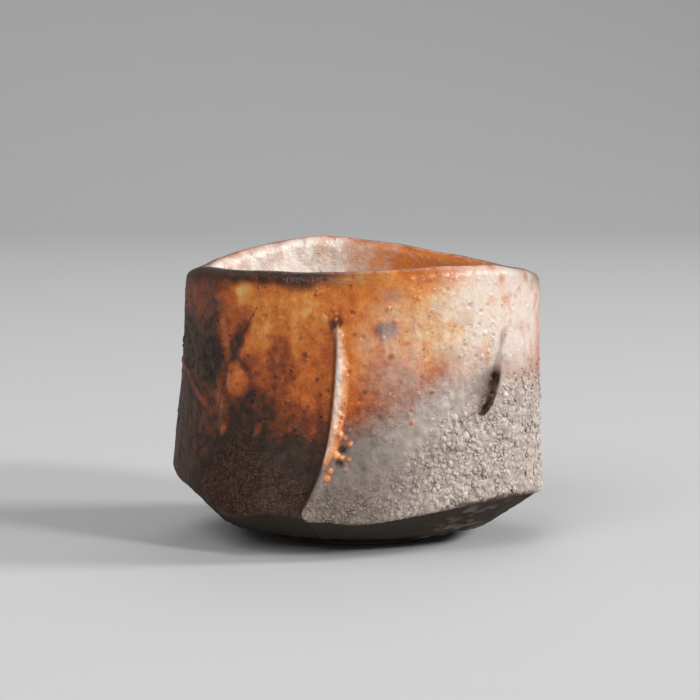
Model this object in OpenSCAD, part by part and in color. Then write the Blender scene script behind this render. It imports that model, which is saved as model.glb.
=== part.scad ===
// Guinomi: a small hand-carved sake cup of dark stoneware.
// One lump of clay is hollowed out, its wall is cut into broad overlapping facets, and its
// underside is pared back to a low foot ring. Three coats of glaze cover it: one on the wall,
// one in the well and one rolled over the lip. The underside and the foot stay bare.
// +Z is up, the front is -Y, and the origin is the middle of the foot, on the table.
// An azimuth is counted in degrees from the front, round by the right-hand side.

/* [Blank] */
// Width of the glazed wall before it is carved
blank_width = 66.4; // [52:0.1:82]
// Depth of the glazed wall before it is carved
blank_depth = 64.4; // [50:0.1:80]
// How much narrower each side of the wall is at the lip
draw_in = 2.1; // [0:0.1:4]
// How far the lip sits to the right of the foot
lip_lean = 1; // [-2:0.1:2]

/* [Lip] */
// Height of the lip's lowest dip above the table
lip_low = 46.4; // [36:0.1:60]
// Rise from the lip's lowest dip to its highest hump
lip_swing = 4.6; // [0:0.1:8]
// Thickness of the glazed wall at the lip
lip_thickness = 3.8; // [3:0.1:6]
// Height of the rounded lip
lip_round = 1.9; // [1:0.1:4]

/* [Base] */
// Height of the sharp lower edge where it is lowest
edge_low = 6.1; // [5:0.1:10]
// Rise from the sharp edge's lowest place to its highest
edge_swing = 5.3; // [0:0.1:8]
// Height at which the pared underside turns from shallow to steep
knuckle_height = 2.9; // [2:0.1:4.5]
// Thickness of the clay floor over the foot
floor_thickness = 7; // [4:0.1:12]

/* [Foot ring] */
// Diameter of the foot ring
foot_diameter = 29.4; // [20:0.1:36]
// Height of the foot ring
foot_height = 0.8; // [0.6:0.1:1.6]
// Breadth of the ring that meets the table
foot_breadth = 4.4; // [2:0.1:8]
// Softened edge of the foot ring
foot_chamfer = 0.3; // [0.1:0.1:0.5]

/* [Carving] */
// Height of the step where one cut overlaps the next
cut_step = 1; // [0:0.1:1.6]
// How far a step's hollow reaches along the wall
cut_reach = 6; // [3:0.5:10]
// Height of the ridge that a cut pushed up
ridge_height = 0.8; // [0:0.1:1.5]
// Breadth of that ridge
ridge_breadth = 1.6; // [1:0.1:3]
// Width of a step's face
step_face = 0.3; // [0.1:0.1:0.6]

/* [Glaze] */
// Thickness of the coat on the wall
wall_coat = 0.6; // [0.3:0.1:1]
// Thickness of the coat in the well
well_coat = 0.5; // [0.3:0.1:1]
// Thickness of the wall coat along its lower border
border_coat = 0.2; // [0.1:0.1:0.3]

/* [Hidden] */

// Carved lines, in order round the wall. Each runs from the sharp edge, level 0, to the lip,
// level 1: [azimuth, lean towards the lip, its power, lean towards the edge, its power, top level].
lines = [
    [-7.8, -0.3, 1, -11.2, 4, 0.84],
    [51.5, 0, 1, -24, 2.8, 0.78],
    [59.5, -4, 3, 0, 1, 0.8],
    [118, 6, 2, -5, 3, 0.7],
    [176, 9, 2, -10, 4, 0.8],
    [230, 8, 2, -6, 3, 0.76],
    [268, 0, 1, 2, 2, 0.5],
    [306.5, 25.2, 2.95, 0, 1, 0.95]
];
// What each line does to the wall: depth and reach of the hollow on its left, depth and reach of
// the hollow on its right, and height of the ridge on its right, as shares of cut_step, of
// cut_reach and of ridge_height. The last value is the level where the line begins.
line_cut_shares = [
    [1, 1, 0, 1, 1, 0],
    [1.7, 1, 0, 1, 0, 0.34],
    [0, 1, 0, 1, 0, 0],
    [0, 1, 0.9, 1, 0, 0],
    [0.9, 1, 0, 1, 0.6, 0],
    [0, 1, 0.8, 1, 0, 0.2],
    [0, 1, 0, 1, 0, 0],
    [0.9, 1, 0.9, 0.45, 0, 0.08]
];
// Columns of the skin between one line and the next
line_columns = [12, 5, 8, 8, 8, 6, 6, 10];
// The lines that are corners of the plan, how far out each stands as a share of the blank,
// and how flat the facet that follows it is, where 1 is a plane cut
corners = [0, 2, 3, 4, 5, 6, 7];
corner_shares = [0.975, 1, 0.99, 0.975, 0.985, 0.985, 0.985];
flat_shares = [0.42, 0.06, 0.5, 0.55, 0.4, 0.3, 0.5];
// Heights at equal steps round the turn from the front, as shares of each swing
lip_shares = [
    0.42, 0.5, 0.57, 0.55, 0.37, 0.11, 0, 0, 0.03, 0.2, 0.38, 0.64,
    0.85, 1, 0.86, 0.61, 0.35, 0.11, 0.09, 0.27, 0.35, 0.37, 0.39, 0.39
];
edge_shares = [
    0, 0.13, 0.32, 0.47, 0.55, 0.4, 0.26, 0.24, 0.32, 0.47, 0.4, 0.21,
    0.13, 0.25, 0.43, 0.55, 0.47, 0.65, 1, 0.79, 0.62, 0, 0.25, 0.13
];
// Levels of the rings on the wall, shares of a half turn over the lip and of a quarter turn in the well
wall_level_shares = [0, 0.03, 0.08, 0.14, 0.21, 0.28, 0.35, 0.42, 0.49, 0.56, 0.63, 0.7, 0.77, 0.84, 0.92, 1];
lip_turn_shares = [0, 0.2, 0.4, 0.6, 0.8, 1];
well_turn_shares = [0, 0.14, 0.28, 0.42, 0.56, 0.7, 0.84];
// Squareness of the well's profile, where 2 is an ellipse
well_squareness = 4;
// Levels over which a carved line fades in and out, and its columns spread apart near the lip
fade_level = 0.12;
// Degrees between the two columns at a line where the wall runs smoothly into the lip
open_gap = 3;
// Share of the wall's height over which the coat grows from its border to its full thickness
coat_growth = 0.1;
// The ring of the wall at which the glaze begins
first_glazed = 1;
// How far the seat for the foot reaches past the ring on either side
seat_margin = 0.5;
// Share of the way from the foot's seat to the sharp edge at which the underside turns steep
knuckle_share = 0.53;
// Rise of the bare underside within the foot ring, as a share of the ring's height
hollow_rise_share = 0.5;

clay_colour = "#4b3d36";
foot_colour = "#8a7358";
glaze_colour = "#b8622e";
well_colour = "#d9a184";
lip_colour = "#4a2c1c";

function clamp01(x) = min(1, max(0, x));
function smooth(x) = let (c = clamp01(x)) c * c * (3 - 2 * c);
function mix(a, b, share) = a + (b - a) * share;
function wrap(angle) = angle - 360 * floor((angle + 180) / 360);

// A closed curve through one value at each equal share of the turn
function round_trip(values, azimuth) =
    let (n = len(values),
         at = (azimuth / 360 - floor(azimuth / 360)) * n,
         i = floor(at),
         u = at - i,
         a = values[(i + n - 1) % n],
         b = values[i % n],
         c = values[(i + 1) % n],
         d = values[(i + 2) % n])
    b + u * (c - a + u * (2 * a - 5 * b + 4 * c - d + u * (3 * (b - c) + d - a))) / 2;

function lip_height(azimuth) = lip_low + lip_swing * round_trip(lip_shares, azimuth);
function edge_height(azimuth) = edge_low + edge_swing * round_trip(edge_shares, azimuth);
function wall_top(azimuth) = lip_height(azimuth) - lip_round;

// The azimuth of a carved line at a level. Lines past the last one are the same lines a turn later.
function line_azimuth(i, level) =
    let (n = len(lines), l = lines[i % n], from = line_cut_shares[i % n][5])
    l[0] + 360 * floor(i / n)
        + l[1] * pow(min(level, l[5]), l[2])
        + l[3] * pow(1 - max(level, from), l[4]);

// How strongly a line is carved at a level
function line_strength(i, level) =
    let (from = line_cut_shares[i][5])
    (from > 0 ? smooth((level - from) / fade_level) : 1)
        * smooth((lines[i][5] - level) / fade_level);

// The uncarved blank is an ellipse that draws in towards the lip
function blank_radius(azimuth, level) =
    let (a = blank_width / 2 - draw_in * level, b = blank_depth / 2 - draw_in * level)
    1 / sqrt(pow(sin(azimuth) / a, 2) + pow(cos(azimuth) / b, 2));

// Where an azimuth lies in facet j, from 0 at its first corner to 1 at its last
function facet_share(j, azimuth, level) =
    let (n = len(corners),
         from = line_azimuth(corners[j], level),
         to = line_azimuth(corners[(j + 1) % n] + (j + 1 == n ? len(lines) : 0), level),
         past = azimuth - from,
         turned = past - 360 * floor(past / 360))
    [turned / (to - from), to - from];

// What the facets leave of the blank, as a share of its radius
function facet_cut(azimuth, level) =
    let (n = len(corners),
         shown = [for (j = [0:n - 1])
             let (f = facet_share(j, azimuth, level))
             if (f[0] >= 0 && f[0] < 1)
                 mix(corner_shares[j], corner_shares[(j + 1) % n], f[0])
                     - flat_shares[j] * (1 - cos(f[1] / 2)) * 4 * f[0] * (1 - f[0])])
    mix(1, shown[0], smooth((1 - level) / 0.5));

// The hollows and ridges along the carved lines
function line_relief(i, azimuth, level, radius) =
    let (s = wrap(azimuth - line_azimuth(i, level)) * PI / 180 * radius,
         cut = line_cut_shares[i],
         side = s < 0 ? [cut[0], cut[1]] : [cut[2], cut[3]],
         reach = pow(1 - min(1, abs(s) / (cut_reach * side[1])), 1.5),
         ridge = s > 0 ? exp(-pow(s / ridge_breadth, 2)) : 0)
    line_strength(i, level) * (ridge_height * cut[4] * ridge - cut_step * side[0] * reach);

// Radius of the glazed wall
function wall_radius(azimuth, level) =
    let (r = blank_radius(azimuth, level) * facet_cut(azimuth, level),
         relief = [for (i = [0:len(lines) - 1]) line_relief(i, azimuth, level, r)])
    r + relief * [for (i = relief) 1];

function coat_at(level) = mix(border_coat, wall_coat, smooth(level / coat_growth));

// A column of the skin is [line, share of the way to the next line]. Its azimuth follows the
// carved lines on the wall, and where spread is 1 the columns stand evenly apart.
columns = [for (i = [0:len(lines) - 1]) for (k = [0:line_columns[i]]) [i, k / line_columns[i]]];
function column_azimuth(column, level, spread) =
    let (radius = blank_width / 2,
         gap = mix(step_face / radius * 180 / PI, open_gap, spread),
         from = line_azimuth(column[0], level) + gap / 2,
         to = line_azimuth(column[0] + 1, level) - gap / 2,
         bunched = (1 - cos(180 * column[1])) / 2)
    mix(from, to, mix(bunched, column[1], spread));

// A point at a radius from an axis that leans with the lip
function place(azimuth, radius, height, level) =
    [radius * sin(azimuth) + lip_lean * level, -radius * cos(azimuth), height];

// A point of the wall, drawn in under the glaze by depth
function wall_point(column, level, depth) =
    let (azimuth = column_azimuth(column, level, smooth((level - 1 + fade_level) / fade_level)),
         height = mix(edge_height(azimuth), wall_top(azimuth), level))
    place(azimuth, wall_radius(azimuth, level) - depth, height, level);

// A point of the rounded lip, from the outside at turn 0 to the inside at turn 180.
// The clay lies under coats of outside, top and inside thickness.
function lip_point(column, turn, outside, top, inside) =
    let (azimuth = column_azimuth(column, 1, 1),
         outer = wall_radius(azimuth, 1) - outside,
         inner = wall_radius(azimuth, 1) - lip_thickness + inside,
         middle = (outer + inner) / 2)
    place(azimuth, middle + (outer - inner) / 2 * cos(turn),
        wall_top(azimuth) + (lip_round - top) * sin(turn), 1);

// A point of the well, from the lip at turn 0 to its floor at turn 90
function well_point(column, turn, depth) =
    let (azimuth = column_azimuth(column, 1, 1),
         r = (wall_radius(azimuth, 1) - lip_thickness + depth) * pow(cos(turn), 2 / well_squareness),
         drop = (wall_top(azimuth) - well_floor(depth)) * pow(sin(turn), 2 / well_squareness))
    place(azimuth, r, wall_top(azimuth) - drop, 1);
function well_floor(depth) = foot_height + floor_thickness + well_coat - depth;

// A point of the bare underside, a share of the way from a radius to the sharp edge
function base_point(column, radius, share, height) =
    let (azimuth = column_azimuth(column, 0, 1))
    place(azimuth, mix(radius, wall_radius(azimuth, 0), share), height, 0);

function ring_of(f) = [for (c = columns) f(c)];
function wall_rings(depth_share, first = 0) = [
    for (i = [first:len(wall_level_shares) - 1])
        let (level = wall_level_shares[i])
        ring_of(function (c) wall_point(c, level, depth_share * coat_at(level)))
];
function lip_rings(outside, top, inside) = [
    for (share = lip_turn_shares)
        ring_of(function (c) lip_point(c, 180 * share, outside, top, inside))
];
function well_rings(depth) = [
    for (share = well_turn_shares) ring_of(function (c) well_point(c, 90 * share, depth))
];
function base_rings() = [
    for (p = [
        [foot_diameter / 2 - foot_breadth - seat_margin, 0, foot_height],
        [foot_diameter / 2 + seat_margin, 0, foot_height],
        [foot_diameter / 2 + seat_margin, knuckle_share, knuckle_height]
    ]) ring_of(function (c) base_point(c, p[0], p[1], p[2]))
];
function tail(list) = [for (i = [1:1:len(list) - 1]) list[i]];
function front_of(list) = [for (i = [0:1:len(list) - 2]) list[i]];
function backwards(list) = [for (i = [len(list) - 1:-1:0]) list[i]];
function flat(lists) = [for (l = lists) for (x = l) x];

// Faces between rings that each have one point a column. The rings climb the outside of
// the solid, so that the faces look outwards.
function band_faces(n, rings, closed) = [
    for (i = [0:rings - (closed ? 1 : 2)]) for (k = [0:n - 1])
        let (a = i * n + k, b = i * n + (k + 1) % n,
             c = (i + 1) % rings * n + (k + 1) % n, d = (i + 1) % rings * n + k)
        each [[a, c, b], [a, d, c]]
];

// A solid whose skin runs from one ring to the next, and back to the first
module ring_solid(rings) {
    polyhedron(flat(rings), band_faces(len(columns), len(rings), true), convexity = 6);
}

// A solid whose skin runs from a pole, out through the rings, to another pole
module capped_solid(rings, first_pole, last_pole) {
    n = len(columns);
    m = len(rings);
    points = concat(flat(rings), [first_pole, last_pole]);
    fans = [for (k = [0:n - 1]) each [
        [n * m, k, (k + 1) % n],
        [n * m + 1, (m - 1) * n + (k + 1) % n, (m - 1) * n + k]
    ]];
    polyhedron(points, concat(band_faces(n, m, false), fans), convexity = 6);
}

module clay_body() {
    color(clay_colour)
        capped_solid(
            concat(base_rings(), wall_rings(1), tail(lip_rings(wall_coat, wall_coat, well_coat)),
                tail(well_rings(well_coat))),
            [0, 0, foot_height * (1 + hollow_rise_share)],
            [lip_lean, 0, well_floor(well_coat)]);
}

module foot_ring() {
    outer = foot_diameter / 2;
    inner = outer - foot_breadth;
    color(foot_colour)
        rotate_extrude($fn = 96)
            polygon([
                [inner + foot_chamfer, 0],
                [outer - foot_chamfer, 0],
                [outer, foot_chamfer],
                [outer, foot_height],
                [inner, foot_height],
                [inner, foot_chamfer]
            ]);
}

module wall_glaze() {
    color(glaze_colour)
        ring_solid(concat(wall_rings(0, first_glazed), backwards(wall_rings(1, first_glazed))));
}

module lip_glaze() {
    color(lip_colour)
        ring_solid(concat(lip_rings(0, 0, 0), backwards(lip_rings(wall_coat, wall_coat, well_coat))));
}

module well_glaze() {
    color(well_colour)
        capped_solid(concat(backwards(well_rings(well_coat)), well_rings(0)),
            [lip_lean, 0, well_floor(well_coat)], [lip_lean, 0, well_floor(0)]);
}

clay_body();
foot_ring();
wall_glaze();
well_glaze();
lip_glaze();
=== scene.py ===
import math
import random
from collections import namedtuple

import bmesh
import bpy
import numpy as np
from bpy.props import FloatProperty, FloatVectorProperty, IntProperty, PointerProperty
from mathutils import Color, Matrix, Vector, kdtree, noise


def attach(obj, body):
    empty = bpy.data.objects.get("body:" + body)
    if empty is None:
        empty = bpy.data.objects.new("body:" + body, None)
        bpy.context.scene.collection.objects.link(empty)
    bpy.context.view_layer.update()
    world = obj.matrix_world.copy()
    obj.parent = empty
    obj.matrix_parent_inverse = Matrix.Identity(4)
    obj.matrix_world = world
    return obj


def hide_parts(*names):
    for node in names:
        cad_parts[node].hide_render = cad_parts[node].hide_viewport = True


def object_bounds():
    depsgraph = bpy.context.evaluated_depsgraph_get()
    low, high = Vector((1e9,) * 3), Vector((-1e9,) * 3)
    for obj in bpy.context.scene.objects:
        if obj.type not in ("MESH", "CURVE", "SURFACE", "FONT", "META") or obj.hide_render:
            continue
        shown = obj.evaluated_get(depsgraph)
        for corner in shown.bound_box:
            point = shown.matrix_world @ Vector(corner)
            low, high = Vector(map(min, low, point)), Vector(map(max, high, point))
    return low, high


bl_info = {
    "name": "Guinomi Sake Cup",
    "version": (1, 0, 0),
    "blender": (4, 5, 0),
    "location": "3D View > Sidebar > Guinomi",
    "description": "Dresses a hand-carved sake cup in bare clay, running glaze and crawled beads",
    "category": "Add Mesh",
}

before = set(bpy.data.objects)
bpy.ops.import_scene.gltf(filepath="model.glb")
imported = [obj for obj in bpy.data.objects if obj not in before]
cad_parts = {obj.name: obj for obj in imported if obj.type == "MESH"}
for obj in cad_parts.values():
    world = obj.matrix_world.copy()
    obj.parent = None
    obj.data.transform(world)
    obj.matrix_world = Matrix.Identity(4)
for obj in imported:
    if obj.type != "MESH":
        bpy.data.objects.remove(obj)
CAD_LOW, CAD_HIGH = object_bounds()
MM = 0.001
# Vertices closer than this are one, and edges sharper than this stay sharp.
WELD_DISTANCE = 1e-6
SHARP_ANGLE = math.radians(62)
# The wall's length in mm for one degree of the turn.
MM_PER_DEGREE = 0.55
# The wall's coat at its thin lower border.
THIN_COAT = 0.25 * MM
# The power that makes the well's side steep and its floor flat.
WELL_SQUARENESS = 4
# Pinholes and blisters that are strewn over the glaze, and the room in mm that beads leave
# beside carved lines and over the lower edge.
SCATTERED_MARKS = 700
BEAD_CLEARANCE = 0.5

# Carved lines, in order round the wall from the front by the right-hand side:
# azimuth, lean towards the lip, its power, lean towards the lower edge, its power, top level.
LINES = (
    (-7.8, -0.3, 1, -11.2, 4, 0.84),
    (50.9, 0, 1, -560, 9, 0.78),
    (59.5, -4, 3, 0, 1, 0.8),
    (118, 6, 2, -5, 3, 0.7),
    (176, 9, 2, -10, 4, 0.8),
    (230, 8, 2, -6, 3, 0.76),
    (268, 0, 1, 2, 2, 0.5),
    (306.5, 25.2, 2.95, 0, 1, 0.95),
)
# Depth and reach of the hollow on each line's left and on its right, the ridge on its right,
# and the level where the line begins.
CUT_SHARES = (
    (1, 1, 0, 1, 1, 0),
    (1.3, 0.8, 0, 1, 0, 0.375),
    (0, 1, 0, 1, 0, 0),
    (0, 1, 0.9, 1, 0, 0),
    (0.9, 1, 0, 1, 0.85, 0),
    (0, 1, 0.8, 1, 0, 0.2),
    (0, 1, 0, 1, 0, 0),
    (0.62, 1, 0.62, 0.45, 0, 0.08),
)
# Lines where broad facets meet, counted on into the next turn: the line, the share of the
# blank's radius that is left there, how flat the facet after it is.
CORNERS = (
    (0, 0.975, 0.42), (2, 1, 0.06), (3, 0.99, 0.5), (4, 0.975, 0.55), (5, 0.985, 0.4),
    (6, 0.985, 0.3), (7, 0.985, 0.5), (8, 0.975, 0.42),
)
# Heights of the lip and of the sharp lower edge, from lowest to highest, at equal steps round
# the turn from the front.
LIP_SHARES = (
    0.42, 0.5, 0.57, 0.55, 0.37, 0.11, 0, 0, 0.03, 0.2, 0.38, 0.64,
    0.85, 1, 0.86, 0.61, 0.35, 0.11, 0.09, 0.27, 0.35, 0.37, 0.39, 0.39,
)
EDGE_SHARES = (
    0, 0.13, 0.32, 0.47, 0.55, 0.4, 0.26, 0.24, 0.32, 0.47, 0.4, 0.21,
    0.13, 0.25, 0.43, 0.55, 0.47, 0.65, 1, 0.79, 0.62, 0, 0.25, 0.13,
)
# How broad each line's step is, as a share.
FACE_SHARES = (1, 0.45, 1, 1, 1.2, 1, 1, 0.7)
# Above this level a cut is only a shallow mark.
SHALLOW_LEVELS = {1: 0.58}
# Levels over which a cut fades out, and over which a shallow one sets in.
FADE_LEVEL = 0.12
SHORT_FADE_LEVEL = 0.02
# Lines on the back waver by so many degrees.
BACK_LINES = (3, 4, 5)
WAVER = 0.9
# How far the front line turns back at its toe, in degrees, and below which level.
TOE_TURN = 3.2
TOE_LEVEL = 0.05

# Height in mm under which the glaze turns grey and dry, and under which it crawled into beads,
# at equal steps round the turn from the front.
GREY_LINE = (
    24, 28, 32, 34, 32, 30, 27, 25, 24, 22, 20, 19,
    21, 23, 22, 19, 16, 12, 7, 6, 13, 21.5, 20, 18,
)
BEAD_LINE = (
    12.5, 17, 23, 27, 31, 30, 26, 22, 20, 18, 16, 16,
    18, 20, 18, 15, 11, 7, 4, 4, 11, 20, 18, 13,
)
# How large the beads grow there and how pale the dry glaze is, as shares.
BEAD_GROWTH = (
    0.5, 0.8, 1, 1, 1, 1, 0.95, 0.9, 0.8, 0.75, 0.7, 0.75,
    0.85, 0.9, 0.8, 0.6, 0.45, 0.35, 0.3, 0.3, 0.3, 0.3, 0.32, 0.38,
)
PALE_SHARES = (
    0.42, 0.72, 0.95, 1, 1, 1, 0.9, 0.8, 0.7, 0.6, 0.5, 0.6,
    0.7, 0.7, 0.6, 0.45, 0.3, 0.15, 0.08, 0.05, 0.02, 0.02, 0.06, 0.28,
)

# Patches of colour on the wall, laid one over another: azimuth, height in mm, half width in
# degrees, half height in mm, how much it leans in degrees per mm, tone from black to straw.
PATCHES = (
    (-80, 34, 22, 8.5, 0, 0.1), (-74, 44.6, 26, 2.4, 0, 0.34), (-56, 41.5, 6, 4.5, 0.6, 0.28),
    (-57, 32.5, 6, 6, 0, 0.1), (-74, 17, 20, 8, 0, 0.16), (-72, 26, 15, 5, 0, 0.17),
    (-25, 43.6, 22, 2.6, 0, 0.68), (-34, 38.5, 4.5, 6, 0.5, 0.8), (-26, 40.5, 3.4, 3, 0, 0.74),
    (-19, 40, 6, 6, 0, 0.84), (-26.5, 31, 4.5, 8, 0, 0.45), (-16.5, 31, 4, 9, 0, 0.6),
    (-36, 31, 4, 4, 0, 0.5), (-11, 31, 1.8, 7, 0, 0.6), (-38, 25.5, 9, 3, 0, 0.2),
    # The dark patch at -44 degrees and 34.8 mm is painted shade on the flank right of the long left
    # line.
    (-20, 24, 8, 2.4, 0, 0.38), (-44, 34.8, 3.1, 4.2, 0.6, 0.2), (-43.5, 29.8, 6, 3.6, 0, 0.24),
    (-43.2, 29.8, 3, 2, 0, 0.58), (-40.5, 44, 3.2, 1.7, 0, 0.97),
    (-48, 21.3, 1.7, 0.9, 0, 0.54), (-35, 21.3, 1.4, 0.8, 0, 0.54), (7, 36, 15, 11, 0, 0.75),
    (12, 29.5, 14, 5, 1.2, 0.5), (32, 40, 20, 8, 0, 0.92), (7.5, 38.4, 3, 1.7, 0, 0.36),
    # The dark patch at -8.2 degrees and 40 mm is painted shadow by the top of the front ridge.
    (-8.2, 40, 1.6, 1.3, 0, 0.25), (8, 24, 14, 4, 1.2, 0.52), (17.5, 24.3, 1.6, 1.8, 0, 0.66),
    (-4, 18, 4, 3, 0, 0.46), (2, 46.8, 13, 1.5, 0, 0.8), (80, 40, 22, 7, 0, 0.68),
    (105, 34, 14, 8, 0, 0.46), (140, 38, 18, 8, 0.6, 0.76), (163, 31, 9, 7, 0, 0.3),
    (188, 40, 12, 8, 0, 0.64), (212, 33, 13, 7, -0.8, 0.8), (240, 39, 10, 8, 0, 0.38),
    (254, 27, 12, 10, 0, 0.2),
)
# Smoky smudges in the milky glaze, and that glaze itself: azimuth, height in mm, half width in
# degrees, half height in mm, strength.
SMUDGES = (
    (9, 44.6, 4, 1.2, 0.45), (34.5, 40.5, 4.5, 1.6, 0.45), (7.5, 38.5, 2.6, 1.4, 0.5),
    (31, 33.8, 7, 2.4, 0.45), (24, 43, 3, 1.1, 0.35), (20, 31, 5, 2, 0.3),
)
# The milky glaze here is partly pale glaze and partly painted light, on the side where the light
# falls.
MILKY = ((54, 41, 32, 12, 1), (12, 36, 12, 9, 0.6))
# Marks seen on the glaze: azimuth, height in mm, radius in mm, rise or depth in mm, rim in mm.
MARKS = (
    (9.5, 34, 0.8, -0.32, 0.1), (-5.3, 18.8, 0.95, -0.75, 0), (-6.4, 16.5, 0.95, -0.75, 0),
    (-3, 19.8, 0.45, 0.5, 0), (-7.2, 18, 0.7, 0.65, 0), (-5.5, 17.5, 0.55, 0.6, 0),
    (-8.8, 15.3, 0.6, 0.4, 0), (-9.7, 14.1, 0.75, 0.45, 0), (-10.3, 13.1, 0.4, 0.25, 0),
    (-4.2, 15.4, 0.35, 0.35, 0), (-3.3, 17.2, 0.4, 0.35, 0), (-4.3, 16.4, 0.3, 0.3, 0),
    (-6, 21.3, 0.55, 0.45, 0), (-4.6, 20.8, 0.35, 0.3, 0), (-43.4, 29.6, 2.6, 1.1, 0),
    (-46, 31.7, 1.0, 0.35, 0), (-44.6, 30.8, 0.55, -0.45, 0.1), (-42, 29, 0.4, -0.35, 0.08),
    (-43.6, 28, 0.35, -0.3, 0.08), (-48, 21.3, 0.8, 0.16, 0), (-35, 21.3, 0.6, 0.14, 0),
    (-15.3, 41.2, 0.7, 0.35, 0), (-12, 40.7, 0.7, 0.35, 0), (-26, 41.3, 0.6, -0.2, 0.05),
    (-18.5, 34.4, 0.6, -0.35, 0.1), (-31, 37.2, 0.7, -0.25, 0.05), (-20, 37.2, 0.4, -0.25, 0.1),
    (12, 36.8, 0.3, -0.3, 0.12), (14.5, 38.3, 0.32, -0.3, 0.12), (15, 36.3, 0.3, -0.3, 0.12),
    (20.5, 35.3, 0.32, -0.3, 0.12), (23, 38, 0.32, -0.3, 0.12), (28.5, 35, 0.35, -0.3, 0.12),
    (30.5, 35.3, 0.3, -0.3, 0.12), (15, 32, 0.3, -0.3, 0.12), (-8.4, 41.5, 0.3, 0.3, 0),
    (-8.3, 40.6, 0.35, 0.3, 0), (-7.4, 38.3, 0.9, 0.35, 0), (-6.6, 34.8, 0.6, 0.25, 0),
    (17.5, 23, 0.45, 0.3, 0), (17.2, 25.3, 0.35, 0.25, 0), (1.5, 33, 0.5, 0.3, 0),
    (6, 29, 0.35, 0.25, 0), (11, 27.5, 0.35, 0.25, 0), (25, 28, 0.35, 0.25, 0),
)
# A thin raised run on the left of the wall: azimuth and height in mm of its bends.
RUN = ((-92, 30.6), (-78, 30), (-68, 27.5), (-57, 25))


def length(label, description, millimetres):
    """A size in the sidebar."""
    return FloatProperty(
        name=label, description=description, default=millimetres * MM, unit="LENGTH", precision=5
    )


def tint(label, description, colour):
    """A colour in the sidebar."""
    return FloatVectorProperty(
        name=label, description=description, default=colour, subtype="COLOR", size=3, min=0, max=1
    )


class CupSizes(bpy.types.PropertyGroup):
    """Sizes of the cup, as its solids have them, and of what the glaze did in the kiln."""

    blank_width: length("Blank width", "Width of the glazed wall before it is carved", 66.4)
    blank_depth: length("Blank depth", "Depth of the glazed wall before it is carved", 64.4)
    draw_in: length("Draw in", "How much narrower each side of the wall is at the lip", 2.1)
    lip_lean: length("Lip lean", "How far the lip sits to the right of the foot", 1)
    lip_low: length("Lip height", "Height of the lip's lowest dip", 46.4)
    lip_swing: length("Lip swing", "Rise from the lip's lowest dip to its highest hump", 4.6)
    lip_thickness: length("Lip thickness", "Thickness of the glazed wall at the lip", 3.8)
    lip_round: length("Lip rounding", "Height of the rounded lip", 1.9)
    edge_low: length("Edge height", "Height of the sharp lower edge where it is lowest", 6.1)
    edge_swing: length("Edge swing", "Rise from the edge's lowest place to its highest", 5.3)
    knuckle_height: length("Knuckle height", "Height where the underside turns steep", 2.9)
    floor_thickness: length("Floor thickness", "Thickness of the clay floor over the foot", 7)
    foot_diameter: length("Foot diameter", "Diameter of the foot ring", 29.4)
    foot_height: length("Foot height", "Height of the foot ring", 0.8)
    foot_breadth: length("Foot breadth", "Breadth of the ring that meets the table", 4.4)
    cut_step: length("Cut step", "Height of the step where one cut overlaps the next", 1)
    cut_reach: length("Cut reach", "How far a step's hollow reaches along the wall", 6)
    ridge_height: length("Ridge height", "Height of the ridge that a cut pushed up", 0.8)
    ridge_breadth: length("Ridge breadth", "Breadth of that ridge", 1.6)
    step_face: length("Step face", "Width over which the glaze rounds a step", 0.8)
    wall_coat: length("Wall coat", "Thickness of the coat on the wall", 0.6)
    well_coat: length("Well coat", "Thickness of the coat in the well", 0.5)
    shrink: length("Shrink", "How far the glaze lies inside the solids' outline", 0.1)
    edge_round: length("Edge rounding", "Radius of the glaze round the lower edge", 0.8)
    bead_size: length("Bead size", "Radius of a large bead of crawled glaze", 0.72)
    bead_tries: IntProperty(
        name="Beads", description="Beads that are tried for on the wall", default=24000, min=0
    )


class CupColours(bpy.types.PropertyGroup):
    """Colours of the clay and of the glaze, from its darkest pool to its palest run."""

    # Black and brown also paint shade in the cuts, beside the front ridge and in the craters.
    black: tint("Black", "Glaze where it is burnt darkest", (0.009, 0.006, 0.004))
    brown: tint("Brown", "Dark brown glaze", (0.055, 0.02, 0.009))
    rust: tint("Rust", "Rust-coloured glaze", (0.24, 0.05, 0.012))
    orange: tint("Orange", "Orange glaze", (0.53, 0.125, 0.02))
    amber: tint("Amber", "Amber glaze", (0.7, 0.24, 0.042))
    straw: tint("Straw", "Glaze where it is palest", (0.78, 0.47, 0.18))
    # Salmon and cream also carry the painted highlights on the ridge and drops, and the painted
    # light on the right.
    salmon: tint("Salmon", "Milky glaze on the upper right", (0.66, 0.36, 0.21))
    cream: tint("Cream", "Palest milky glaze", (0.76, 0.68, 0.6))
    grey: tint("Grey", "Dry dark glaze over the clay", (0.024, 0.014, 0.009))
    ash: tint("Ash", "Dry pale glaze over the clay", (0.51, 0.43, 0.375))
    # The bead colour goes on the beads' tops, partly their paler glaze and partly painted light.
    bead: tint("Bead", "Tips of the palest beads of crawled glaze", (0.79, 0.72, 0.65))
    milk: tint("Milk", "Milky glaze in the well", (0.88, 0.8, 0.72))
    clay: tint("Clay", "Bare dark clay", (0.05, 0.037, 0.029))
    pale_clay: tint("Pale clay", "Bare clay on the foot", (0.1, 0.075, 0.06))
    floor: tint("Floor", "Floor and backdrop", (0.6, 0.6, 0.6))


def smooth(x):
    """0 below 0, 1 above 1, and an even S between."""
    x = np.clip(x, 0, 1)
    return x * x * (3 - 2 * x)


def mix(a, b, share):
    return a + (b - a) * share


def wrapped(angle):
    """An angle in degrees, carried over to between -180 and 180."""
    return (np.asarray(angle, float) + 180) % 360 - 180


def between(x, low, high, low_fade, high_fade):
    """1 between two limits, fading to 0 towards each."""
    return smooth((x - low) / low_fade) * smooth((high - x) / high_fade)


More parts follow.
